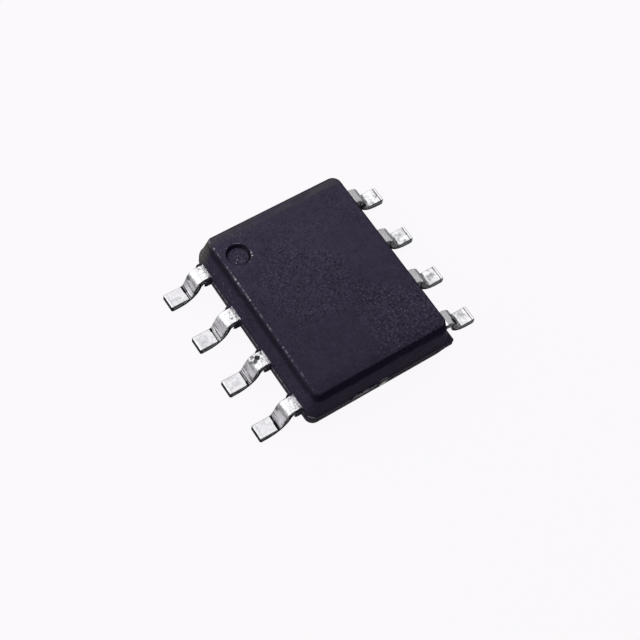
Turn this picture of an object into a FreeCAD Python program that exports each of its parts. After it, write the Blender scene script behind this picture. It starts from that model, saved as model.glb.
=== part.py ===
import FreeCAD, Part
import math
import os

from FreeCAD import Vector

# Eight-lead small-outline chip, standing on its feet. Millimetres and degrees.
# X runs across the two rows of leads, Y along them, Z up from the seating plane.
# Lead 1 is at the -X, +Y corner, beside the dimple, and the numbers run anticlockwise.

# Leadframe strip and the two rows of leads
frame_thickness = 0.20
lead_width = 0.40
lead_pitch = 1.27
leads_per_side = 4

# Gull-wing form of a lead outside the body, from its shoulder down to its toe
shoulder_run = 0.1515
leg_angle = 72.0
bend_radius = 0.08
foot_length = 0.46
heel_radius = 0.05
leg_flat = 0.07
toe_rollover = 0.04
toe_relief = 0.05
edge_break = 0.02

# Leadframe inside the body
paddle_width = 2.10
paddle_gap = 0.20
paddle_downset = 0.20
tie_bar_width = 0.20
tie_bar_run = 0.10
tie_bar_slope = 45.0
tie_bar_stub = 0.02
finger_head_width = 0.62
finger_head_length = 0.36
corner_finger_gap = 0.34
anchor_hole_diameter = 0.16
anchor_hole_inset = 0.38

# Moulded body
body_width = 3.94
end_margin = 0.565
standoff = 0.10
lower_half = 0.45
upper_half = 0.71
upper_draft = 14.8
lower_draft = 12.0
corner_radius = 0.32
gate_corner_radius = 0.03
top_corner_radii = [0.14, 0.22, 0.09, 0.14]
bottom_corner_radius = 0.20
top_edge_radius = 0.04
bottom_edge_radius = 0.05
band_step = 0.015

# Marks that the mould leaves on the body
dimple_diameter = 0.58
dimple_depth = 0.10
dimple_draft = 27.0
dimple_from_side = 0.60
dimple_from_end = 0.90
ejector_diameter = 0.90
ejector_depth = 0.02
far_flash_width = 0.045
near_flash_width = 0.025
near_flash_hang = 0.09
flash_root = 0.05
left_flash_reach = 0.17
right_flash_reach = 0.09
flash_taper = 0.05
gate_width = 0.66
gate_height = 0.15
gate_drop = 0.10
gate_stub = 0.02
gate_root = 0.05
gate_offset = 0.56
gate_tear = [0.35, 1.0, 0.65, 0.85, 0.65]

# Die, the adhesive under it and the wires
die_width = 1.30
die_length = 1.80
die_thickness = 0.25
attach_thickness = 0.02
attach_margin = 0.04
pad_inset = 0.10
side_pad_pitch = 0.91
end_pad_pitch = 0.55
wire_diameter = 0.03
wire_sides = 6
loop_height = 0.20
loop_radius = 0.07
ball_diameter = 0.08
ball_height = 0.018
stitch_diameter = 0.07
stitch_height = 0.008
bond_inset = 0.12

# Levels and places that follow from the sizes above
row_length = (leads_per_side - 1) * lead_pitch
body_length = row_length + 2 * end_margin
frame_bottom = standoff + lower_half
frame_top = frame_bottom + frame_thickness
body_top = frame_top + upper_half
wall_x = body_width / 2
wall_y = body_length / 2
paddle_top = frame_top - paddle_downset
paddle_bottom = paddle_top - frame_thickness
paddle_half_length = row_length / 2 - lead_width / 2 - paddle_gap
finger_tip_x = paddle_width / 2 + paddle_gap
corner_tip_x = tie_bar_width / 2 + corner_finger_gap
die_bottom = paddle_top + attach_thickness
die_top = die_bottom + die_thickness


# General shapes


def polygon_face(points):
    return Part.Face(Part.makePolygon(points + points[:1]))


def centred_box(width, length, z_low, z_high, x=0.0, y=0.0):
    corner = Vector(x - width / 2, y - length / 2, z_low)
    return Part.makeBox(width, length, z_high - z_low, corner)


def rounded_outline(half_x, half_y, z, radii):
    """A rectangle with rounded corners, from the gate's corner at +X and -Y anticlockwise."""
    signs = [(1, -1), (1, 1), (-1, 1), (-1, -1)]
    corners = [Vector(half_x * sx, half_y * sy, z) for sx, sy in signs]
    rounds = []
    for i, corner in enumerate(corners):
        back = (corners[i - 1] - corner).normalize() * radii[i]
        ahead = (corners[(i + 1) % 4] - corner).normalize() * radii[i]
        middle = corner + (back + ahead) * (1 - math.sqrt(0.5))
        rounds.append((corner + back, middle, corner + ahead))
    edges = []
    for i, (start, middle, end) in enumerate(rounds):
        edges.append(Part.Arc(start, middle, end).toShape())
        edges.append(line(end, rounds[(i + 1) % 4][0]))
    return Part.Wire(edges)


def at_level(edge, z):
    return all(abs(v.Z - z) < 1e-6 for v in edge.Vertexes)


def outline_face(edges):
    return Part.Face(Part.Wire(Part.sortEdges(edges)[0]))


def line(a, b):
    return Part.LineSegment(a, b).toShape()


def on_circle(centre, radius, angle):
    """A point in the XZ plane, its angle counted from +X to +Z."""
    turn = math.radians(angle)
    return centre + Vector(radius * math.cos(turn), 0, radius * math.sin(turn))


def arc(centre, radius, start, end):
    angles = [start, (start + end) / 2, end]
    return Part.Arc(*[on_circle(centre, radius, angle) for angle in angles]).toShape()


def even_polygon(centre, diameter, sides):
    """A level polygon with equal sides, drawn around a circle."""
    reach = diameter / 2 / math.cos(math.pi / sides)
    turns = [math.pi * (2 * i + 1) / sides for i in range(sides)]
    points = [centre + Vector(reach * math.cos(t), reach * math.sin(t), 0) for t in turns]
    return Part.makePolygon(points + points[:1])


def even_prism(centre, diameter, height, sides):
    return Part.Face(even_polygon(centre, diameter, sides)).extrude(Vector(0, 0, height))


# Leads


def gull_wing_sides():
    """Side view of a lead outside the body, at +X: the edges of its upper side, then of its lower side."""
    turn = math.radians(leg_angle)
    sin, cos = math.sin(turn), math.cos(turn)
    outer_bend = bend_radius + frame_thickness

    # Upper side
    shoulder_end = Vector(wall_x + shoulder_run, 0, frame_top)
    bend_centre = shoulder_end - Vector(0, 0, outer_bend)
    leg_high = bend_centre + Vector(outer_bend * sin, 0, outer_bend * cos)
    leg_low_z = frame_thickness + heel_radius * (1 - cos)
    leg_low = Vector(leg_high.x + (leg_high.z - leg_low_z) * cos / sin, 0, leg_low_z)
    heel_centre = leg_low + Vector(heel_radius * sin, 0, heel_radius * cos)
    foot_start = heel_centre - Vector(0, 0, heel_radius)
    toe_x = foot_start.x + foot_length
    toe_top = Vector(toe_x - toe_rollover, 0, frame_thickness)
    toe_high = Vector(toe_x, 0, frame_thickness - toe_rollover)
    upper = [
        line(Vector(wall_x, 0, frame_top), shoulder_end),
        arc(bend_centre, outer_bend, 90, 90 - leg_angle),
        line(leg_high, leg_low),
        arc(heel_centre, heel_radius, 270 - leg_angle, 270),
        line(foot_start, toe_top),
        arc(toe_top - Vector(0, 0, toe_rollover), toe_rollover, 90, 0),
    ]

    # Lower side, with a large outside radius where the forming tool coins the heel
    shoulder_under = bend_centre + Vector(0, 0, bend_radius)
    under_high = bend_centre + Vector(bend_radius * sin, 0, bend_radius * cos)
    under_low = under_high + Vector(leg_flat * cos, 0, -leg_flat * sin)
    sole_radius = under_low.z / (1 - cos)
    sole_centre = Vector(under_low.x + sole_radius * sin, 0, sole_radius)
    sole_end = Vector(toe_x - toe_relief, 0, 0)
    toe_low = Vector(toe_x, 0, toe_relief)
    lower = [
        line(toe_high, toe_low),
        arc(sole_end + Vector(0, 0, toe_relief), toe_relief, 0, -90),
        line(sole_end, Vector(sole_centre.x, 0, 0)),
        arc(sole_centre, sole_radius, 270, 270 - leg_angle),
        line(under_low, under_high),
        arc(bend_centre, bend_radius, 90 - leg_angle, 90),
        line(shoulder_under, Vector(wall_x, 0, frame_bottom)),
        line(Vector(wall_x, 0, frame_bottom), Vector(wall_x, 0, frame_top)),
    ]
    return upper, lower


def gull_wing():
    """The outer part of a lead, with the upper edges of its two sides broken."""
    upper, lower = gull_wing_sides()
    section = outline_face(upper + lower)
    section.translate(Vector(0, -lead_width / 2, 0))
    blank = section.extrude(Vector(0, lead_width, 0))
    upper_edges = [edge for edge in blank.Edges if any(runs_beside(edge, other) for other in upper)]
    return blank.makeChamfer(edge_break, upper_edges)


def runs_beside(edge, section_edge):
    """True for an edge of the extruded lead that is a side view edge moved along Y."""
    offset = middle_of(edge) - middle_of(section_edge)
    return math.hypot(offset.x, offset.z) < 1e-6 and abs(abs(offset.y) - lead_width / 2) < 1e-6


def middle_of(edge):
    return edge.valueAt((edge.FirstParameter + edge.LastParameter) / 2)


def finger(is_corner):
    """The part of a lead that the body grips, at +X and centred on its own Y."""
    tip_x = corner_tip_x if is_corner else finger_tip_x
    shank = Part.makeBox(
        wall_x - tip_x, lead_width, frame_thickness, Vector(tip_x, -lead_width / 2, frame_bottom)
    )
    if is_corner:
        hole_at = Vector(wall_x - anchor_hole_inset, 0, frame_bottom)
        return shank.cut(Part.makeCylinder(anchor_hole_diameter / 2, frame_thickness, hole_at))
    head = Part.makeBox(
        finger_head_length,
        finger_head_width,
        frame_thickness,
        Vector(tip_x, -finger_head_width / 2, frame_bottom),
    )
    return shank.fuse(head)


def row_y(place):
    return row_length / 2 - place * lead_pitch


def is_corner_place(place):
    return place in (0, leads_per_side - 1)


def lead_places():
    """For each lead: its number, the side it is on (-1 or 1) and its place counted from +Y."""
    places = []
    for i in range(leads_per_side):
        places.append((i + 1, -1, i))
    for i in range(leads_per_side):
        places.append((leads_per_side + i + 1, 1, leads_per_side - 1 - i))
    return places


def make_lead(outer, side, place):
    piece = outer.fuse(finger(is_corner_place(place))).removeSplitter()
    if side < 0:
        piece.rotate(Vector(0, 0, 0), Vector(0, 0, 1), 180)
    piece.translate(Vector(0, row_y(place), 0))
    return piece


# Paddle, die and wires


def tie_bar():
    """Side view of the strip that holds the paddle, set up from paddle level to frame level, at +Y."""
    start = paddle_half_length
    bend = start + tie_bar_run
    rise = paddle_downset
    crest = bend + rise / math.tan(math.radians(tie_bar_slope))
    shift = frame_thickness * math.tan(math.radians(tie_bar_slope) / 2)
    end = wall_y + tie_bar_stub
    x = -tie_bar_width / 2
    section = polygon_face([
        Vector(x, start, paddle_top),
        Vector(x, bend, paddle_top),
        Vector(x, crest, frame_top),
        Vector(x, end, frame_top),
        Vector(x, end, frame_bottom),
        Vector(x, crest + shift, frame_bottom),
        Vector(x, bend + shift, paddle_bottom),
        Vector(x, start, paddle_bottom),
    ])
    return section.extrude(Vector(tie_bar_width, 0, 0))


def make_paddle():
    plate = centred_box(paddle_width, 2 * paddle_half_length, paddle_bottom, paddle_top)
    far_bar = tie_bar()
    near_bar = tie_bar()
    near_bar.rotate(Vector(0, 0, 0), Vector(0, 0, 1), 180)
    return plate.fuse([far_bar, near_bar]).removeSplitter()


def make_attach():
    margin = 2 * attach_margin
    return centred_box(die_width + margin, die_length + margin, paddle_top, die_bottom)


def make_die():
    return centred_box(die_width, die_length, die_bottom, die_top)


def bond_points(side, place):
    """Where a lead's wire starts on the die and ends on the finger, in plan."""
    y = row_y(place)
    if is_corner_place(place):
        toward_end = math.copysign(1, y)
        pad = Vector(side * end_pad_pitch / 2, toward_end * (die_length / 2 - pad_inset), 0)
        return pad, Vector(side * (corner_tip_x + bond_inset), y, 0)
    pad = Vector(side * (die_width / 2 - pad_inset), y / lead_pitch * side_pad_pitch, 0)
    return pad, Vector(side * (finger_tip_x + bond_inset), y, 0)


def make_wire(side, place):
    """Ball on the die, a loop that rises and falls in one upright plane, and a stitch on the finger."""
    pad, stitch = bond_points(side, place)
    run = (stitch - pad).Length
    crown = die_top + loop_height
    centre = Vector(loop_radius, 0, crown - loop_radius)
    reach = math.hypot(run - centre.x, frame_top - centre.z)
    fall = math.atan2(centre.z - frame_top, run - centre.x) + math.asin(loop_radius / reach)
    leave = centre + Vector(loop_radius * math.sin(fall), 0, loop_radius * math.cos(fall))
    heading = Vector(math.cos(fall), 0, -math.sin(fall))
    past_end = Vector(run, 0, frame_top) + heading * wire_diameter
    foot = Vector(0, 0, die_top + ball_height)
    path = Part.Wire([
        line(foot, Vector(0, 0, centre.z)),
        arc(centre, loop_radius, 180, 90 - math.degrees(fall)),
        line(leave, past_end),
    ])
    section = even_polygon(foot, wire_diameter, wire_sides)
    strand = path.makePipeShell([section], True, False)
    below = centred_box(2 * wire_diameter + stitch_diameter, ball_diameter, 0, frame_top, x=run)
    strand = strand.cut(below)
    ball = even_prism(Vector(0, 0, die_top), ball_diameter, ball_height, wire_sides)
    flat = even_prism(Vector(run, 0, frame_top), stitch_diameter, stitch_height, wire_sides)
    piece = strand.fuse([ball, flat])
    heading_angle = math.degrees(math.atan2(stitch.y - pad.y, stitch.x - pad.x))
    piece.rotate(Vector(0, 0, 0), Vector(0, 0, 1), heading_angle)
    piece.translate(pad)
    return piece


# Moulded body


def half_body(z_base, z_end, draft, base_radii, end_radii, edge_radius):
    """One half of the body: it leans in from the band, and the edge of its outer face is rounded."""
    inset = abs(z_end - z_base) * math.tan(math.radians(draft))
    half_x = wall_x - band_step
    half_y = wall_y - band_step
    base = rounded_outline(half_x, half_y, z_base, base_radii)
    end = rounded_outline(half_x - inset, half_y - inset, z_end, end_radii)
    block = Part.makeLoft([base, end], True, True)
    return block.makeFillet(edge_radius, [e for e in block.Edges if at_level(e, z_end)])


def parting_band():
    radii = [gate_corner_radius] + [corner_radius] * 3
    outline = rounded_outline(wall_x, wall_y, frame_bottom, radii)
    return Part.Face(outline).extrude(Vector(0, 0, frame_thickness))


def flash_beside_leads():
    """Thin resin on both sides of each lead's shoulder, cut off at a slant. The near strip hangs lower."""
    strips = []
    for _, side, place in lead_places():
        reach = left_flash_reach if side < 0 else right_flash_reach
        for edge, width, hang in ((-1, near_flash_width, near_flash_hang), (1, far_flash_width, 0.0)):
            inner_y = row_y(place) + edge * lead_width / 2
            outer_y = inner_y + edge * width
            bottom = frame_bottom - hang
            outline = polygon_face([
                Vector(side * (wall_x - flash_root), inner_y, bottom),
                Vector(side * (wall_x - flash_root), outer_y, bottom),
                Vector(side * (wall_x + reach - flash_taper), outer_y, bottom),
                Vector(side * (wall_x + reach), inner_y, bottom),
            ])
            strips.append(outline.extrude(Vector(0, 0, frame_top - bottom)))
    return strips


def gate_remnant():
    """Broken edge where the runner was torn off the near end. Its heights are shares of the gate's."""
    corner = Vector(-gate_offset - gate_width / 2, -wall_y - gate_stub, frame_top - gate_drop)
    step = gate_width / (len(gate_tear) - 1)
    torn = [corner + Vector(i * step, 0, share * gate_height) for i, share in enumerate(gate_tear)]
    foot = [corner + Vector(gate_width, 0, 0), corner]
    return polygon_face(torn + foot).extrude(Vector(0, gate_stub + gate_root, 0))


def dimple():
    radius = dimple_diameter / 2
    floor_radius = radius - dimple_depth * math.tan(math.radians(dimple_draft))
    at = Vector(-wall_x + dimple_from_side, wall_y - dimple_from_end, body_top - dimple_depth)
    return Part.makeCone(floor_radius, radius, dimple_depth, at)


def ejector_mark():
    return Part.makeCylinder(ejector_diameter / 2, ejector_depth, Vector(0, 0, standoff))


def make_body(inner_pieces):
    even_radii = [corner_radius - band_step] * 4
    gate_radii = [gate_corner_radius] + even_radii[1:]
    bottom_radii = [bottom_corner_radius] * 4
    upper = half_body(frame_top, body_top, upper_draft, even_radii, top_corner_radii, top_edge_radius)
    lower = half_body(frame_bottom, standoff, lower_draft, gate_radii, bottom_radii, bottom_edge_radius)
    body = parting_band().fuse([upper, lower, gate_remnant()] + flash_beside_leads())
    body = body.removeSplitter()
    body = body.cut([dimple(), ejector_mark()])
    return body.cut(inner_pieces)


# All pieces, one file each


def build():
    outer = gull_wing()
    pieces = {"die_paddle": make_paddle(), "die_attach": make_attach(), "die": make_die()}
    for number, side, place in lead_places():
        pieces[f"lead_{number}"] = make_lead(outer, side, place)
        pieces[f"bond_wire_{number}"] = make_wire(side, place)
    pieces["mold_body"] = make_body(list(pieces.values()))
    return pieces


os.makedirs("parts", exist_ok=True)
for name, shape in build().items():
    shape.exportStep(f"parts/{name}.step")
    print(name, round(shape.Volume, 5), len(shape.Solids), shape.isValid())
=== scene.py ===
import math

import bpy
from mathutils import Matrix, Vector


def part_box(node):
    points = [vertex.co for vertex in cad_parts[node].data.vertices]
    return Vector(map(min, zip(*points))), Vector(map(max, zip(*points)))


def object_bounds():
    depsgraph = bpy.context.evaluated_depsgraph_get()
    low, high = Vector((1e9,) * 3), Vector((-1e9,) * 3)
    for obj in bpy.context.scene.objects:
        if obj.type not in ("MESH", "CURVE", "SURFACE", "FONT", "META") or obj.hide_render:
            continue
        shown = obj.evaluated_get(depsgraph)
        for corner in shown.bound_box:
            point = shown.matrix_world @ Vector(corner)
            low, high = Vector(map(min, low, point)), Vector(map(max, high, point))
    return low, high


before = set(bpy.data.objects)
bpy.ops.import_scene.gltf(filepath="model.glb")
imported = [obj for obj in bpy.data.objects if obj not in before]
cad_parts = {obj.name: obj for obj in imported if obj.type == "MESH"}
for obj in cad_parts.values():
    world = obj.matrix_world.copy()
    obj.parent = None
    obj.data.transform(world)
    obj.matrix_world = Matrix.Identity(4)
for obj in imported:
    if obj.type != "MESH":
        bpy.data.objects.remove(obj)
cad_low, cad_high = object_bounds()

# Sizes are in millimetres, and materials work in millimetres too. Angles are in degrees, and colours are in
# linear light.
MM = 0.001

# The camera, as it stands in the photograph: its place round the chip, its lens in the photograph's
# pixels, and how far its aim is off the chip's origin.
CAMERA_AZIMUTH, CAMERA_ELEVATION, CAMERA_ROLL = -45.56, 61.61, 13.505
FOCAL_PIXELS, FRAME_PIXELS = 1415.5, 640
CAMERA_DISTANCE = 33.2065
AIM_RIGHT, AIM_UP, AIM_DROP = 0.0114, -0.1889, 0.04
SENSOR_WIDTH = 36.0

# Light: a dim room, a large soft lamp overhead, a smaller one at the far left and a weak one at the far right
WORLD_GREY = 0.20
OVERHEAD = {"direction": (-0.20, 0.35, 1.0), "distance": 36.0, "size": 72.0, "radiance": 0.93}
FAR_LEFT = {"direction": (-0.80, 0.50, 0.55), "distance": 26.0, "size": 20.0, "radiance": 1.3}
FAR_RIGHT = {"direction": (0.85, 0.35, 0.45), "distance": 26.0, "size": 22.0, "radiance": 0.5}

# Floor: pale paper, shown white behind the chip
FLOOR_SIZE = 800.0
PAPER_COLOUR = (0.50, 0.49, 0.51)
GLOW_COLOUR = (1.0, 0.982, 1.0)
FLOOR_GLOW = 0.94

# The body's own sizes that the materials follow
BODY_TOP = cad_high.z / MM
BODY_HALF_WIDTH = 1.97
BODY_HALF_LENGTH = 2.47

# The leads' own sizes that the materials follow. A reach is a distance from the chip's middle, to the left
# or to the right. The sole's curl is an arc that starts at SOLE_REACH.
lead_low, lead_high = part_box("lead_5")
next_low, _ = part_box("lead_6")
LEAD_COUNT = 8
LEAD_PITCH = (next_low.y - lead_low.y) / MM
LEAD_HALF_WIDTH = (lead_high.y - lead_low.y) / 2 / MM
SHOULDER_END, FOOT_START, TOE_REACH = 2.12, 2.54, lead_high.x / MM
FOOT_TOP, SHOULDER_MIDDLE_HEIGHT = 0.20, 0.65
SOLE_REACH, SOLE_RADIUS = 2.8085, 0.6196

# Resin: its colours
RESIN_COLOUR = (0.0388, 0.0326, 0.0560)
DARK_WALL_COLOUR = (0.0125, 0.0092, 0.0250)
OLIVE_COLOUR = (0.105, 0.103, 0.090)
SPECK_COLOUR = (0.25, 0.24, 0.27)
GLINT_COLOUR = (0.55, 0.54, 0.58)

# Resin: how many cells its noises have in a millimetre, from broad clouds to the finest grain
CLOUDS_PER_MM, PATCHES_PER_MM, GRAIN_PER_MM, SPECKS_PER_MM, FINE_PER_MM = 0.9, 3.5, 14.0, 19.0, 24.0

# Resin: heights of the dark upper part of the walls and of the ridge on the parting line
DARK_WALL_LOW, DARK_WALL_TOP = 1.20, 1.43
RIDGE_HEIGHT, RIDGE_HALF_HEIGHT = 0.645, 0.055

# Resin: the flecks on the near end and on the left wall, and the gate's torn mark on the near end
NEAR_FLECKS_LOW, NEAR_FLECKS_HIGH = 0.60, 0.73
NEAR_FLECKS_LEFT, NEAR_FLECKS_RIGHT = -1.0, -0.1
LEFT_FLECKS_LOW, LEFT_FLECKS_HIGH = 0.72, 1.05
LEFT_FLECKS_START, LEFT_FLECKS_FULL = 0.4, 1.0
GATE_MARK_LEFT, GATE_MARK_RIGHT, GATE_MARK_LOW = -1.3, 0.3, 0.64

# Resin: where the top is dark with painted shade at its near end and olive at its far end, each from start to
# full
NEAR_SHADE_START, NEAR_SHADE_FULL = -1.85, -2.32
FAR_OLIVE_START, FAR_OLIVE_FULL = 1.96, 2.14

# Resin: where the far left corner is olive in painted light, along a line that slopes across it and along x
CORNER_SLOPE = -0.25
CORNER_START, CORNER_FULL = 2.42, 2.68
CORNER_LEFT_START, CORNER_LEFT_FULL = -0.6, -1.7

# Resin: where the dark far edge of the top and the painted highlight on the left one start and are full
DARK_EDGE_START, DARK_EDGE_FULL = -1.75, -1.55
HIGHLIGHT_EDGE_START, HIGHLIGHT_EDGE_FULL = -2.2, -1.2

# Resin: speckled zones of the top, as places, radii and strengths
WORN_ZONES = [((1.10, -1.70, BODY_TOP), 1.30, 1.00), ((-0.30, 0.30, BODY_TOP), 1.30, 0.75)]

# Dimple: its place and size, the side on which its wall is shaded, and glints as x, y, radius and strength
DIMPLE_X, DIMPLE_Y = -1.37, 1.57
DIMPLE_RADIUS, DIMPLE_FLOOR_RADIUS = 0.29, 0.24
DIMPLE_FLOOR = BODY_TOP - 0.10
SHADE_SIDE_X, SHADE_SIDE_Y = 0.42, 0.91
DIMPLE_GLINTS = [
    (-1.085, 1.478, 0.024, 0.9), (-1.105, 1.400, 0.024, 0.9), (-1.49, 1.454, 0.016, 0.7),
    (-1.42, 1.52, 0.018, 0.4), (-1.30, 1.419, 0.016, 0.3), (-1.515, 1.843, 0.014, 0.3),
    (-1.38, 1.43, 0.014, 0.3),
]

# Painted highlight: bright dots along the left top edge, as their places along it, sizes and strengths
EDGE_HIGHLIGHT_DOTS = [
    (2.17, 0.025, 0.35), (1.98, 0.040, 0.60), (1.80, 0.030, 0.30), (1.42, 0.038, 0.45), (1.25, 0.030, 0.30),
    (1.07, 0.045, 1.00), (0.95, 0.046, 0.85), (0.76, 0.030, 0.30), (0.54, 0.036, 0.60), (0.46, 0.044, 0.70),
    (0.22, 0.030, 0.35), (-0.35, 0.030, 0.25), (-0.90, 0.030, 0.25),
]

# Tin: its tint, and the tones of single places, some of which noise varies
TIN_TINT = (0.992, 0.976, 1.015)
BODY_STRIP_TONE, TOE_STRIP_TONE, TOE_EDGE_TONE = 0.97, 0.92, 0.45
RIGHT_TOE_TONE, RIGHT_SIDE_TONE, FAR_SIDE_TONE = 0.40, 0.33, 0.30
SIDE_SHADE_TONE, LOWER_RIM_TONE, HEEL_TONE, MARK_TONE = 0.010, 0.015, 0.01, 0.02

# Tin: reaches. The shoulder's tone changes from BEND_START to BEND_FULL, the leg starts beyond it, and the
# right row has a hump in painted shade and then pits. Dark lines lie beside the body, lines of painted shade
# lie in the heel and before the toe, and the right row's feet end in a pale strip and a greyer edge.
BEND_START, BEND_FULL = 2.10, 2.20
LEG_START, HUMP_START, PITS_START = SHOULDER_END + 0.16, 2.085, 2.25
BODY_LINE_REACH = BODY_HALF_WIDTH + 0.050
HEEL_LINE_REACH = FOOT_START - 0.018
TOE_LINE_REACH = TOE_REACH - 0.080
TOE_STRIP_START = TOE_REACH - 0.062
TOE_EDGE_START = TOE_REACH - 0.020

# Tin: the grey streak on the left row's cut sides, above the sole
STREAK_HEIGHT, STREAK_HALF_HEIGHT = 0.112, 0.036

# Tin: dark marks on single leads, as places, radii and strengths
LEAD_MARKS = [
    ((-2.16, -0.56, 0.74), 0.085, 0.97), ((-2.24, -0.61, 0.72), 0.075, 0.85),
    ((-2.25, -0.49, 0.72), 0.065, 0.65), ((-2.32, -0.58, 0.68), 0.060, 0.60),
    ((-2.05, -0.51, 0.75), 0.045, 0.60), ((-2.38, 2.04, 0.57), 0.090, 0.65),
    ((-2.39, -1.74, 0.55), 0.090, 0.65), ((-2.36, 0.98, 0.60), 0.080, 0.55),
    ((-2.12, 0.56, 0.75), 0.040, 0.55), ((2.30, -2.04, 0.685), 0.105, 1.00),
    ((2.35, -2.07, 0.63), 0.085, 1.00), ((2.31, -1.90, 0.67), 0.060, 0.85),
    ((2.35, 1.705, 0.40), 0.110, 1.00), ((2.41, 1.705, 0.43), 0.100, 1.00),
    ((2.30, 1.705, 0.35), 0.090, 1.00),
]

# Leadframe: its colour, and the bare sliver at the tie bars' ends, which rises from left to right
ALLOY_COLOUR = (0.76, 0.75, 0.74)
SLIVER_HEIGHT, SLIVER_HALF_HEIGHT, SLIVER_SLOPE = 0.618, 0.036, 0.3


class Nodes:
    """A material's or the world's node tree, with short calls that add and join nodes."""

    def __init__(self, tree):
        self.tree = tree
        tree.nodes.clear()

    def add(self, kind, inputs=None, **settings):
        node = self.tree.nodes.new("ShaderNode" + kind)
        for name, value in settings.items():
            setattr(node, name, value)
        for name, value in (inputs or {}).items():
            self.feed(node.inputs[name], value)
        return node

    def feed(self, socket, value):
        if isinstance(value, bpy.types.NodeSocket):
            self.tree.links.new(value, socket)
        elif socket.type == "RGBA" and not isinstance(value, (int, float)):
            socket.default_value = (*value, 1.0)
        else:
            socket.default_value = value

    def math(self, operation, a, b=0.0):
        return self.add("Math", {0: a, 1: b}, operation=operation).outputs[0]

    def times(self, *factors):
        product = factors[0]
        for factor in factors[1:]:
            product = self.math("MULTIPLY", product, factor)
        return product

    def plus(self, *terms):
        total = terms[0]
        for term in terms[1:]:
            total = self.math("ADD", total, term)
        return total

    def minus(self, a, b):
        return self.math("SUBTRACT", a, b)

    def most(self, *values):
        best = values[0]
        for value in values[1:]:
            best = self.math("MAXIMUM", best, value)
        return best

    def absolute(self, value):
        return self.math("ABSOLUTE", value)

    def length(self, a, b):
        return self.math("SQRT", self.plus(self.times(a, a), self.times(b, b)))

    def swing(self, noise, amount):
        """Turns a noise, which lies about a half, into a swing about zero."""
        return self.times(self.plus(noise, -0.5), amount)

    def rise(self, value, low, high, out_low=0.0, out_high=1.0):
        """Goes smoothly from out_low at low to out_high at high."""
        sockets = {"Value": value, "From Min": low, "From Max": high, "To Min": out_low, "To Max": out_high}
        return self.add("MapRange", sockets, interpolation_type="SMOOTHSTEP").outputs[0]

    def bump_at(self, value, centre, half_width):
        """A soft line: 1 where the value is at the centre, 0 from half a width on."""
        return self.rise(self.absolute(self.minus(value, centre)), half_width, 0.0)

    def between(self, value, low, high, blur):
        above_low = self.rise(value, low - blur, low + blur)
        below_high = self.rise(value, high + blur, high - blur)
        return self.times(above_low, below_high)

    def blend(self, share, a, b):
        """Mixes two colours."""
        node = self.add("Mix", {"Factor": share}, data_type="RGBA")
        self.feed(node.inputs[6], a)
        self.feed(node.inputs[7], b)
        return node.outputs[2]

    def fade(self, share, a, b):
        """Mixes two numbers."""
        return self.add("Mix", {"Factor": share, "A": a, "B": b}, data_type="FLOAT").outputs[0]

    def tint(self, colour, value):
        """Scales a colour, or any vector, by a number."""
        node = self.add("VectorMath", {0: colour}, operation="SCALE")
        self.feed(node.inputs["Scale"], value)
        return node.outputs[0]

    def place(self):
        """The surface point's place in millimetres."""
        return self.tint(self.add("TexCoord").outputs["Object"], 1 / MM)

    def noise(self, vector, per_mm, detail=3.0, roughness=0.55, seed=0.0):
        sockets = {"Vector": vector, "Scale": per_mm, "Detail": detail, "Roughness": roughness, "W": seed}
        return self.add("TexNoise", sockets, noise_dimensions="4D").outputs[0]

    def specks(self, vector, per_mm, share, size):
        """Small round specks in a share of even cells."""
        cells = self.add("TexVoronoi", {"Vector": vector, "Scale": per_mm})
        chosen = self.add("SeparateColor", {0: cells.outputs["Color"]})
        picked = self.math("LESS_THAN", chosen.outputs[0], share)
        return self.times(picked, self.rise(cells.outputs["Distance"], size, size * 0.4))

    def spot(self, vector, centre, radius, warp):
        """An uneven patch round a point."""
        distance = self.add("VectorMath", {0: vector, 1: centre}, operation="DISTANCE").outputs["Value"]
        return self.rise(self.plus(distance, warp), radius, radius * 0.55)

    def relief(self, height, depth, strength):
        """Bump of a given depth in millimetres."""
        sockets = {"Height": height, "Distance": depth * MM, "Strength": strength}
        return self.add("Bump", sockets).outputs[0]

    def surface(self, colour, roughness, metallic, specular, normal):
        sockets = {"Base Color": colour, "Roughness": roughness, "Metallic": metallic, "Normal": normal}
        shader = self.add("BsdfPrincipled", sockets)
        shader.inputs["Specular IOR Level"].default_value = specular
        self.add("OutputMaterial", {"Surface": shader.outputs[0]})


class Point:
    """A point of a surface: its place in millimetres, and the direction in which the surface faces there."""

    def __init__(self, n):
        self.n = n
        self.place = n.place()
        self.x, self.y, self.z = n.add("SeparateXYZ", {0: self.place}).outputs
        normal = n.add("TexCoord").outputs["Normal"]
        self.nx, self.ny, self.nz = n.add("SeparateXYZ", {0: normal}).outputs

    def stretched(self, x_share, y_share, z_share):
        """The place with each axis scaled by itself, for noise that runs in lines."""
        axes = {0: (self.x, x_share), 1: (self.y, y_share), 2: (self.z, z_share)}
        scaled = {axis: self.n.times(*factors) for axis, factors in axes.items()}
        return self.n.add("CombineXYZ", scaled).outputs[0]


def new_material(name):
    material = bpy.data.materials.new(name)
    material.use_nodes = True
    return material, Nodes(material.node_tree)


# Camera, light and floor


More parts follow.
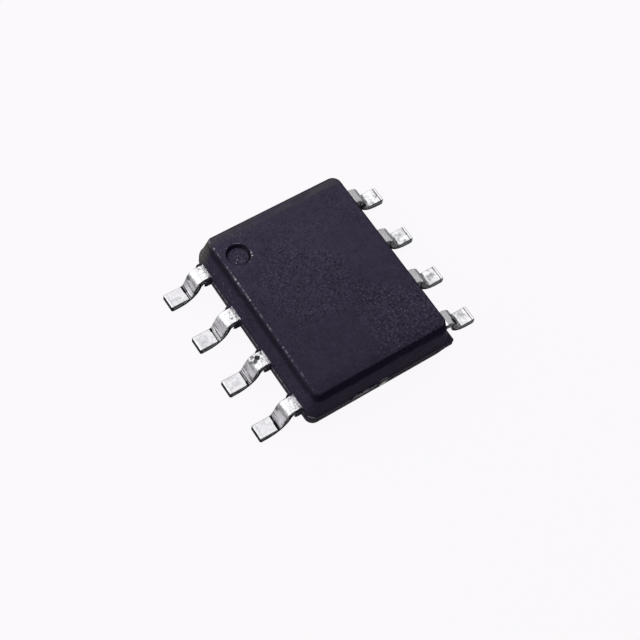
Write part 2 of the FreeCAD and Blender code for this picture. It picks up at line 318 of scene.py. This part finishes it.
def make_camera():
    azimuth, elevation, roll = map(math.radians, (CAMERA_AZIMUTH, CAMERA_ELEVATION, CAMERA_ROLL))
    back = Vector((
        math.sin(azimuth) * math.cos(elevation),
        -math.cos(azimuth) * math.cos(elevation),
        math.sin(elevation),
    ))
    level = Vector((math.cos(azimuth), math.sin(azimuth), 0.0))
    over = back.cross(level)
    right = level * math.cos(roll) + over * math.sin(roll)
    up = over * math.cos(roll) - level * math.sin(roll)
    place = back * CAMERA_DISTANCE + right * AIM_RIGHT + up * AIM_UP - Vector((0, 0, AIM_DROP))
    camera = bpy.data.objects.new("camera", bpy.data.cameras.new("camera"))
    turn = Matrix((right, up, back)).transposed().to_4x4()
    camera.matrix_world = Matrix.Translation(place * MM) @ turn
    camera.data.sensor_width = SENSOR_WIDTH
    camera.data.lens = FOCAL_PIXELS / FRAME_PIXELS * SENSOR_WIDTH
    camera.data.clip_start = CAMERA_DISTANCE / 50 * MM
    camera.data.clip_end = 2 * FLOOR_SIZE * MM
    bpy.context.scene.collection.objects.link(camera)
    bpy.context.scene.camera = camera


def add_softbox(name, direction, distance, size, radiance):
    """A square lamp that faces the chip and shows it the given brightness."""
    lamp = bpy.data.lights.new(name, "AREA")
    lamp.shape = "SQUARE"
    lamp.size = size * MM
    lamp.energy = radiance * math.pi * lamp.size ** 2
    holder = bpy.data.objects.new(name, lamp)
    holder.location = Vector(direction).normalized() * distance * MM
    holder.rotation_euler = (-holder.location).to_track_quat("-Z", "Y").to_euler()
    bpy.context.scene.collection.objects.link(holder)


def make_world():
    world = bpy.data.worlds.new("studio")
    bpy.context.scene.world = world
    world.use_nodes = True
    n = Nodes(world.node_tree)
    background = n.add("Background", {"Color": (WORLD_GREY,) * 3, "Strength": 1.0})
    n.add("OutputWorld", {"Surface": background.outputs[0]})


def make_floor():
    half = FLOOR_SIZE / 2 * MM
    corners = [(-half, -half, 0), (half, -half, 0), (half, half, 0), (-half, half, 0)]
    mesh = bpy.data.meshes.new("floor")
    mesh.from_pydata(corners, [], [(0, 1, 2, 3)])
    floor = bpy.data.objects.new("floor", mesh)
    bpy.context.scene.collection.objects.link(floor)
    material, n = new_material("floor_paper")
    paper = n.add("BsdfDiffuse", {"Color": PAPER_COLOUR})
    glow = n.add("Emission", {"Color": GLOW_COLOUR, "Strength": 1.0})
    path = n.add("LightPath").outputs
    seen = n.most(path["Is Camera Ray"], path["Is Glossy Ray"], path["Is Transmission Ray"])
    mixed = n.add("MixShader", {0: n.times(seen, FLOOR_GLOW), 1: paper.outputs[0], 2: glow.outputs[0]})
    n.add("OutputMaterial", {"Surface": mixed.outputs[0]})
    mesh.materials.append(material)


# Resin


def worn_share(n, p, cloud):
    """Where the grain is open and specks show: faint clouds, two stronger zones and the dimple's floor."""
    faint = n.rise(n.noise(p.place, 0.75, detail=1.0, seed=5.0), 0.46, 0.60)
    share = n.times(faint, 0.35)
    for centre, radius, strength in WORN_ZONES:
        share = n.most(share, n.times(n.spot(p.place, centre, radius, n.swing(cloud, 2.0)), strength))
    floor = n.spot(p.place, (DIMPLE_X, DIMPLE_Y, DIMPLE_FLOOR), DIMPLE_FLOOR_RADIUS, 0.0)
    return n.most(share, floor)


def dark_wall_share(n, p, wall, cloud, patch):
    """The dark upper part of the walls. On the left wall its top is paler with painted highlight."""
    height = n.plus(p.z, n.swing(cloud, 0.12), n.swing(patch, 0.10))
    dark_wall = n.times(wall, n.rise(height, DARK_WALL_LOW - 0.08, DARK_WALL_LOW + 0.07))
    lit_top = n.times(n.rise(p.nx, -0.5, -0.8), n.rise(height, DARK_WALL_TOP - 0.08, DARK_WALL_TOP - 0.02))
    return n.times(dark_wall, n.fade(lit_top, 1.0, 0.25))


def olive_share(n, p, wall, grain):
    """Paler, olive places: in lines along the top's far edge, and in painted light at the far left corner."""
    lines = n.noise(p.stretched(1.2, 22.0, 6.0), 1.0, detail=1.0, seed=14.0)
    far_edge = n.times(n.rise(p.y, FAR_OLIVE_START, FAR_OLIVE_FULL), n.rise(p.nz, 0.985, 0.995))
    far_edge = n.times(far_edge, n.rise(lines, 0.35, 0.65, 0.08, 0.38))
    # The far left corner is paler and olive: painted light on the facet that faces the far left lamp
    across_corner = n.plus(p.y, n.times(p.x, CORNER_SLOPE))
    corner = n.times(wall, n.rise(across_corner, CORNER_START, CORNER_FULL))
    corner = n.times(corner, n.rise(p.x, CORNER_LEFT_START, CORNER_LEFT_FULL))
    corner = n.times(corner, n.rise(p.ny, 0.80, 1.0, 1.0, 0.35), n.rise(grain, 0.30, 0.62, 0.35, 1.0))
    return n.most(far_edge, corner)


def dimple_marks(n, p, off_axis, grain, fine):
    """The shaded arc of the dimple's wall, and the glints on its right rim and about its floor."""
    dx, dy = n.plus(p.x, -DIMPLE_X), n.plus(p.y, -DIMPLE_Y)
    near_top = n.rise(p.z, BODY_TOP - 0.15, BODY_TOP - 0.12)
    towards_shade = n.plus(n.times(dx, SHADE_SIDE_X), n.times(dy, SHADE_SIDE_Y))
    shaded = n.plus(n.math("DIVIDE", towards_shade, off_axis), n.swing(fine, 0.4))
    ring = n.rise(n.bump_at(off_axis, DIMPLE_RADIUS - 0.022, 0.046), 0.0, 0.5)
    arc = n.times(ring, n.rise(shaded, -0.05, 0.45), near_top)

    rim = n.bump_at(off_axis, DIMPLE_RADIUS + 0.008, 0.020)
    right_rim = n.times(rim, n.rise(grain, 0.45, 0.60), n.rise(dx, 0.0, 0.1))
    glint = n.times(right_rim, 0.25, near_top)
    level = p.stretched(1.0, 1.0, 0.0)
    for x, y, radius, strength in DIMPLE_GLINTS:
        glint = n.most(glint, n.times(n.spot(level, (x, y, 0.0), radius, 0.0), strength))
    return arc, n.times(glint, n.rise(p.nz, 0.2, 0.4))


def edge_highlight(n, p, off_axis, beads):
    """The left top edge's painted highlight, away from the dimple: a faint beaded line and single bright
    dots.
    """
    edge = n.times(n.between(p.nz, 0.36, 0.985, 0.05), n.rise(p.nx, -0.10, -0.25))
    edge = n.times(edge, n.rise(off_axis, DIMPLE_RADIUS + 0.03, DIMPLE_RADIUS + 0.07))
    line = n.times(edge, n.rise(p.y, HIGHLIGHT_EDGE_START, HIGHLIGHT_EDGE_FULL, 0.35, 1.0))
    line = n.times(line, n.rise(beads, 0.48, 0.60, 0.0, 0.95))
    dots = 0.0
    for y, radius, strength in EDGE_HIGHLIGHT_DOTS:
        dots = n.most(dots, n.times(n.bump_at(p.y, y, radius), strength))
    return line, n.times(edge, dots)


def near_end_flecks(n, p):
    """Light flecks along the near end's parting line, most of all where the gate's mark is."""
    flecks = n.rise(n.noise(p.place, 15.0, seed=9.0), 0.52, 0.62)
    band = n.between(p.z, NEAR_FLECKS_LOW, NEAR_FLECKS_HIGH, 0.02)
    strength = n.fade(n.between(p.x, NEAR_FLECKS_LEFT, NEAR_FLECKS_RIGHT, 0.08), 0.25, 1.0)
    return n.times(flecks, band, n.rise(p.ny, -0.5, -0.9), strength)


def left_wall_flecks(n, p, wall):
    """Light flecks low on the far half of the left wall."""
    flecks = n.rise(n.noise(p.place, 18.0, seed=15.0), 0.60, 0.70)
    band = n.between(p.z, LEFT_FLECKS_LOW, LEFT_FLECKS_HIGH, 0.04)
    far_half = n.rise(p.y, LEFT_FLECKS_START, LEFT_FLECKS_FULL)
    return n.times(wall, n.rise(p.nx, -0.5, -0.8), band, far_half, flecks)


def body_resin():
    """
    Charcoal moulding compound with a fine grain and light specks. The upper part of each wall is darker, the
    left top edge has a painted highlight, the parting ridge is light, and the far left corner is paler in
    painted light. The dimple has a shaded arc and glints, and light flecks lie on the near end, on the left
    wall and on the gate's mark.
    """
    material, n = new_material("body_resin")
    p = Point(n)
    wall = n.rise(p.nz, 0.75, 0.35)
    near_wall = n.times(wall, n.rise(p.ny, -0.3, -0.7))
    upright = n.rise(p.nz, 0.15, 0.05)
    off_axis = n.length(n.plus(p.x, -DIMPLE_X), n.plus(p.y, -DIMPLE_Y))

    # Grain and clouds, calmer on the near wall
    cloud = n.noise(p.place, CLOUDS_PER_MM, detail=2.0, seed=3.0)
    patch = n.noise(p.place, PATCHES_PER_MM, detail=1.0, seed=12.0)
    grain = n.noise(p.place, GRAIN_PER_MM, detail=2.0, roughness=0.6, seed=1.0)
    fine = n.noise(p.place, FINE_PER_MM, detail=1.0, seed=7.0)
    beads = n.noise(p.stretched(3.0, 13.0, 3.0), 1.0, detail=2.0, roughness=0.7, seed=8.0)
    worn = worn_share(n, p, cloud)
    calm = n.fade(near_wall, 1.0, 0.45)
    grain_swing = n.swing(grain, n.times(n.fade(worn, 0.35, 0.95), calm, 2.2))
    fine_swing = n.swing(fine, n.times(n.fade(worn, 0.5, 1.9), calm))
    tone = n.plus(1.0, grain_swing, fine_swing)
    tone = n.times(tone, n.rise(cloud, 0.3, 0.7, 0.94, 1.06), n.rise(patch, 0.3, 0.7, 0.93, 1.07))

    # Painted shade darkens the top towards its near end, and the far and right top edges are dark
    top_tone = n.plus(1.0, n.times(p.y, 0.065))
    top_tone = n.times(top_tone, n.rise(p.y, NEAR_SHADE_FULL, NEAR_SHADE_START, 0.76, 1.0))
    tone = n.times(tone, n.fade(wall, top_tone, 0.92))
    far_or_right = n.rise(n.most(p.nx, p.ny), 0.06, 0.22)
    dark_edge = n.times(far_or_right, n.rise(p.nz, 0.30, 0.45))
    dark_edge = n.times(dark_edge, n.rise(p.x, DARK_EDGE_START, DARK_EDGE_FULL))
    tone = n.times(tone, n.fade(dark_edge, 1.0, 0.25))

    # The walls are dark above, and on the band between the two halves, but for the gate's mark
    dark_wall = dark_wall_share(n, p, wall, cloud, patch)
    tone = n.times(tone, n.fade(dark_wall, 1.0, n.fade(near_wall, 0.48, 0.34)))
    past_end = n.rise(p.y, -BODY_HALF_LENGTH - 0.004, -BODY_HALF_LENGTH - 0.010)
    gate_mark = n.times(past_end, n.between(p.x, GATE_MARK_LEFT, GATE_MARK_RIGHT, 0.05))
    near_band = n.times(upright, n.rise(p.ny, -0.5, -0.9), n.fade(gate_mark, 0.6, 0.0))
    left_band = n.times(upright, n.rise(p.nx, -0.5, -0.9))
    tone = n.times(tone, n.fade(near_band, 1.0, 0.12), n.fade(left_band, 1.0, 0.55))

    # Dimple
    arc, glint = dimple_marks(n, p, off_axis, grain, fine)
    tone = n.times(tone, n.fade(arc, 1.0, 0.58))

    # Light marks: the painted highlight on the left top edge, the ridge, flecks and specks
    edge_line, edge_dots = edge_highlight(n, p, off_axis, beads)
    ridge = n.times(upright, n.bump_at(p.z, RIDGE_HEIGHT, RIDGE_HALF_HEIGHT))
    ridge = n.times(ridge, n.rise(beads, 0.42, 0.54, 0.05, 1.35), n.rise(p.nx, -0.2, -0.6, 0.15, 1.0))
    specks = n.times(n.specks(p.place, SPECKS_PER_MM, 0.34, 0.36), n.rise(cloud, 0.35, 0.6, 0.5, 1.0))
    specks = n.most(specks, n.rise(fine, 0.56, 0.74))
    specks = n.times(specks, n.plus(0.08, n.times(worn, 0.92)), calm)
    torn = n.times(gate_mark, n.rise(p.z, GATE_MARK_LOW, GATE_MARK_LOW + 0.03), n.rise(fine, 0.45, 0.60))
    light = n.most(n.times(edge_line, 0.50), n.times(ridge, 0.85), n.times(specks, 0.24))
    light = n.most(light, n.times(left_wall_flecks(n, p, wall), 0.55))
    bright = n.most(n.times(edge_dots, 0.75), n.times(glint, 0.9))

    colour = n.tint(RESIN_COLOUR, n.most(tone, 0.06))
    colour = n.blend(n.times(dark_wall, near_wall), colour, DARK_WALL_COLOUR)
    colour = n.blend(olive_share(n, p, wall, grain), colour, OLIVE_COLOUR)
    colour = n.blend(light, colour, SPECK_COLOUR)
    colour = n.blend(n.times(near_end_flecks(n, p), 0.7), colour, SPECK_COLOUR)
    colour = n.blend(n.times(torn, 0.7), colour, GLINT_COLOUR)
    colour = n.blend(bright, colour, GLINT_COLOUR)
    bump = n.relief(n.plus(grain, n.times(fine, 0.4)), 0.012, 0.7)
    n.surface(colour, n.fade(dark_wall, 0.62, 0.85), 0.0, 0.02, bump)
    return material


# Tin


class Lead(Point):
    """A point of a lead: also its reach, its place across the strip, its row and the tin's noises there."""

    def __init__(self, n):
        super().__init__(n)
        self.reach = n.absolute(self.x)
        self.across = n.plus(n.math("FLOORED_MODULO", self.y, LEAD_PITCH), -LEAD_PITCH / 2)
        self.off_middle = n.absolute(self.across)
        self.right_row = n.math("GREATER_THAN", self.x, 0.0)
        self.left_row = n.minus(1.0, self.right_row)
        self.on_foot = n.rise(self.reach, FOOT_START - 0.01, FOOT_START + 0.01)
        self.blotch = n.noise(self.place, 8.0, detail=3.0, seed=2.0)
        self.wisp = n.noise(self.place, 5.0, detail=2.0, seed=11.0)
        self.fine = n.noise(self.place, 24.0, detail=2.0, seed=4.0)
        self.streaks = n.noise(self.stretched(17.0, 1.4, 17.0), 1.0, detail=2.0, seed=6.0)

    def coarse_swing(self, amount):
        return self.n.swing(self.blotch, amount)

    def fine_swing(self, amount):
        return self.n.swing(self.fine, amount)


def flat_tone(n, p):
    """Foot and shoulder: pale, with curls, a faint inner frame and a line of painted shade before the toe."""
    curls = n.bump_at(p.wisp, 0.50, 0.030)
    wide_curls = n.bump_at(p.blotch, 0.47, 0.030)
    pale = n.plus(n.rise(p.reach, BEND_START, BEND_FULL, 0.96, 0.90), p.fine_swing(0.12))
    pale = n.plus(pale, n.times(curls, -0.16), n.times(wide_curls, -0.10))

    # Darker places: beside the body, in a frame along the edges, inside it, and painted shade before the toe
    by_body = n.rise(p.reach, SHOULDER_END + 0.08, SHOULDER_END)
    body_marks = n.times(by_body, n.most(curls, wide_curls), 0.42)
    uneven_reach = n.plus(BODY_LINE_REACH, p.coarse_swing(0.03))
    body_line = n.times(n.bump_at(p.reach, uneven_reach, 0.016), 0.45)
    edge_gap = n.minus(LEAD_HALF_WIDTH, p.off_middle)
    inset = n.times(n.bump_at(edge_gap, 0.050, 0.022), n.rise(p.across, 0.0, 0.1, 0.25, 1.0))
    inset = n.times(inset, n.rise(p.wisp, 0.40, 0.60), 0.16)
    inner_length = n.between(p.reach, FOOT_START + 0.09, TOE_REACH - 0.09, 0.02)
    inner = n.times(n.rise(edge_gap, 0.03, 0.08), inner_length)
    greyed = n.times(inner, n.rise(p.blotch, 0.40, 0.62), 0.22)
    toe_line = n.times(n.bump_at(p.reach, TOE_LINE_REACH, 0.018), p.on_foot)
    toe_line = n.times(toe_line, n.fade(p.right_row, 0.20, 0.80))
    pale = n.minus(pale, n.plus(body_marks, body_line, inset, greyed, toe_line))

    # The right row's feet are mottled, with a pale strip before the toe and a greyer one at its edge
    mottle = n.plus(n.times(n.rise(p.blotch, 0.40, 0.62), -0.26), p.fine_swing(0.30))
    near_heel = n.rise(p.reach, FOOT_START + 0.16, FOOT_START + 0.04)
    right_foot = n.plus(pale, n.times(mottle, n.fade(near_heel, 1.0, 0.45)))
    toe_strip = n.rise(p.reach, TOE_STRIP_START, TOE_STRIP_START + 0.012)
    toe_edge = n.rise(p.reach, TOE_EDGE_START, TOE_EDGE_START + 0.012)
    right_foot = n.fade(toe_edge, n.fade(toe_strip, right_foot, TOE_STRIP_TONE), TOE_EDGE_TONE)
    elsewhere = n.times(pale, n.fade(p.on_foot, 1.0, 0.88))
    return n.fade(n.times(p.right_row, p.on_foot), elsewhere, right_foot)


def leg_share(n, p):
    """The steep leg, from an uneven line on the outer bend down to the heel."""
    along = n.plus(p.reach, p.coarse_swing(0.16), n.times(p.across, -0.10))
    past_bend = n.rise(along, LEG_START, LEG_START + 0.06)
    return n.times(past_bend, n.rise(p.reach, FOOT_START - 0.005, FOOT_START - 0.02))


def leg_tone(n, p):
    """Greyer in painted shade, with dark streaks that run along the bends, most of all in its lower half."""
    lower_half = n.rise(p.z, 0.50, 0.36)
    dark_streaks = n.times(n.rise(p.streaks, 0.53, 0.46), n.plus(0.35, n.times(lower_half, 0.65)), 0.45)
    return n.minus(n.plus(0.52, p.coarse_swing(0.35), p.fine_swing(0.70)), dark_streaks)


def heel_line(n, p):
    """A line of painted shade in the heel's bend that thins out towards the strip's edges."""
    thinner = n.rise(p.off_middle, 0.12, 0.19, 0.0, 0.012)
    off_line = n.minus(n.absolute(n.minus(p.reach, HEEL_LINE_REACH)), thinner)
    return n.times(n.rise(off_line, 0.017, 0.008), n.rise(p.z, FOOT_TOP + 0.12, FOOT_TOP + 0.08))


def right_bend_tone(n, p):
    """The right row's bends: a pale strip by the body, a hump in painted shade and a dark, pitted zone below
    it.
    """
    hump = n.rise(p.reach, HUMP_START, HUMP_START + 0.015)
    hump_tone = n.rise(p.reach, BEND_START, BEND_FULL, 0.34, 0.62)
    hump_tone = n.plus(hump_tone, p.coarse_swing(0.35), p.fine_swing(0.4))
    pitted = n.rise(n.plus(p.reach, p.coarse_swing(0.10)), PITS_START, PITS_START + 0.04)
    pit_tone = n.plus(0.15, p.coarse_swing(0.75), p.fine_swing(0.55))
    return n.fade(hump, BODY_STRIP_TONE, n.fade(pitted, hump_tone, pit_tone))


def cut_side_tone(n, p):
    """
    The strip's sides, toned by painted dark reflection. On near sides the left row is nearly black with a
    grey streak in its middle, and the right row is grey with a dark lower rim. Far sides are plain grey.
    """
    ahead = n.most(n.minus(SOLE_REACH, p.reach), 0.0)
    above_sole = n.minus(SOLE_RADIUS, n.length(ahead, n.minus(SOLE_RADIUS, p.z)))
    shoulder = n.rise(p.reach, SHOULDER_END + 0.14, SHOULDER_END + 0.06)
    shoulder_streak = n.bump_at(p.z, SHOULDER_MIDDLE_HEIGHT, STREAK_HALF_HEIGHT)
    lower_streak = n.bump_at(above_sole, STREAK_HEIGHT, STREAK_HALF_HEIGHT)
    streak = n.fade(shoulder, lower_streak, shoulder_streak)
    left = n.plus(SIDE_SHADE_TONE, n.times(streak, n.rise(p.blotch, 0.38, 0.56, 0.10, 1.0), 0.55))
    lower_rim = n.times(n.rise(above_sole, 0.085, 0.060), n.minus(1.0, shoulder))
    right = n.plus(RIGHT_SIDE_TONE, p.coarse_swing(0.70), n.swing(p.streaks, 0.30))
    near = n.fade(p.right_row, left, n.fade(lower_rim, right, LOWER_RIM_TONE))
    return n.fade(n.math("GREATER_THAN", p.ny, 0.0), near, FAR_SIDE_TONE)


def lead_marks(n, p):
    """Dark marks on single leads."""
    marks = 0.0
    for centre, radius, strength in LEAD_MARKS:
        marks = n.most(marks, n.times(n.spot(p.place, centre, radius, p.fine_swing(0.07)), strength))
    return marks


def lead_tin():
    """Matt tin: pale and mottled on its flats, streaked on its legs. Painted shade greys the legs and the
    bends, and painted dark reflection darkens the cut sides and the left row's toes.
    """
    material, n = new_material("lead_tin")
    p = Lead(n)
    leg = leg_share(n, p)
    # Painted shade: flats darken where they tilt into the bends, and the legs are greyer
    bent_flat_tone = n.times(flat_tone(n, p), n.rise(p.nz, 0.99, 0.80, 1.0, 0.58))
    tone = n.fade(leg, bent_flat_tone, leg_tone(n, p))

    # Heel: a dark line of painted shade in the left row's bends, and a bright one just above it
    heel = n.times(heel_line(n, p), p.left_row)
    before_foot = n.rise(p.reach, FOOT_START, FOOT_START - 0.02)
    above_heel = n.times(n.bump_at(p.z, FOOT_TOP + 0.085, 0.030), before_foot)
    tone = n.fade(heel, n.plus(tone, n.times(above_heel, 0.30)), HEEL_TONE)

    # The right row's bends, down to a little past the heel
    bends = n.rise(n.plus(p.reach, p.coarse_swing(0.10)), FOOT_START + 0.075, FOOT_START + 0.050)
    tone = n.fade(n.times(p.right_row, bends), tone, right_bend_tone(n, p))

    # Cut faces in painted dark reflection, and single marks
    cut_side = n.rise(n.absolute(p.ny), 0.80, 0.95)
    cut_toe = n.times(n.rise(p.nz, 0.80, 0.60), n.rise(p.reach, TOE_REACH - 0.06, TOE_REACH - 0.05))
    left_toe_tone = n.plus(0.02, n.times(n.rise(p.blotch, 0.45, 0.60), 0.06))
    marks = lead_marks(n, p)
    tone = n.fade(cut_side, tone, cut_side_tone(n, p))
    tone = n.fade(cut_toe, tone, n.fade(p.right_row, left_toe_tone, RIGHT_TOE_TONE))
    tone = n.fade(marks, tone, MARK_TONE)
    tone = n.add("Clamp", {"Value": tone, "Min": 0.006, "Max": 0.98}).outputs[0]

    # The left row's cut toes and heels, all cut sides and the marks have no metal's shine
    lustreless = n.most(cut_side, n.times(cut_toe, p.left_row), marks, heel)
    metallic = n.minus(1.0, n.times(lustreless, 0.96))
    dull = n.most(n.times(cut_side, 0.5), n.times(leg, 0.6))
    roughness = n.plus(0.12, n.times(p.blotch, 0.10), n.times(dull, 0.45))
    height = n.plus(n.times(p.blotch, 1.2), n.times(p.fine, 0.5), n.times(p.streaks, leg, 0.8))
    n.surface(n.tint(TIN_TINT, tone), roughness, metallic, 0.0, n.relief(height, 0.008, 0.5))
    return material


# Inner pieces


def frame_alloy():
    """Bare leadframe strip. Where its bars end in the body's ends, resin smears all but a low sliver."""
    material, n = new_material("frame_alloy")
    p = Point(n)
    grain = n.noise(p.stretched(3.0, 24.0, 24.0), 1.0, detail=3.0, seed=21.0)
    smear = n.noise(p.place, 14.0, detail=2.0, seed=22.0)
    at_end = n.rise(n.absolute(p.y), BODY_HALF_LENGTH - 0.02, BODY_HALF_LENGTH)
    height = n.plus(p.z, n.times(p.x, -SLIVER_SLOPE), n.swing(smear, 0.03))
    sliver = n.times(n.bump_at(height, SLIVER_HEIGHT, SLIVER_HALF_HEIGHT), n.rise(p.x, 0.065, 0.035))
    tone = n.plus(0.80, n.swing(grain, 0.5))
    tone = n.times(tone, n.fade(at_end, 1.0, n.fade(sliver, 0.02, 1.2)))
    colour = n.tint(ALLOY_COLOUR, n.math("MINIMUM", tone, 1.25))
    roughness = n.plus(0.30, n.times(smear, 0.2))
    metallic = n.fade(at_end, 1.0, n.times(sliver, 0.9))
    n.surface(colour, roughness, metallic, 0.1, n.relief(grain, 0.004, 0.5))
    return material


def grainy(name, colour, variation, per_mm, roughness, metallic=0.0, depth=0.003):
    """A plain material whose colour, gloss and surface vary with a fine grain."""
    material, n = new_material(name)
    grain = n.noise(n.place(), per_mm, detail=3.0, seed=31.0)
    varied = n.tint(colour, n.plus(1.0, n.swing(grain, variation)))
    uneven_gloss = n.plus(roughness, n.swing(grain, 0.2))
    n.surface(varied, uneven_gloss, metallic, 0.5, n.relief(grain, depth, 0.6))
    return material


def dress(node, material):
    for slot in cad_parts[node].material_slots:
        slot.material = material


bpy.context.scene.view_settings.view_transform = "Standard"
make_camera()
make_world()
make_floor()
add_softbox("softbox_overhead", **OVERHEAD)
add_softbox("softbox_far_left", **FAR_LEFT)
add_softbox("softbox_far_right", **FAR_RIGHT)

dress("mold_body", body_resin())
tin = lead_tin()
gold = grainy("wire_gold", (0.85, 0.62, 0.25), 0.25, 30.0, 0.30, metallic=1.0)
for i in range(LEAD_COUNT):
    dress(f"lead_{i + 1}", tin)
    dress(f"bond_wire_{i + 1}", gold)
dress("die_paddle", frame_alloy())
dress("die_attach", grainy("die_adhesive", (0.62, 0.62, 0.64), 0.60, 18.0, 0.60, depth=0.006))
dress("die", grainy("silicon", (0.10, 0.11, 0.15), 0.15, 6.0, 0.22, depth=0.001))
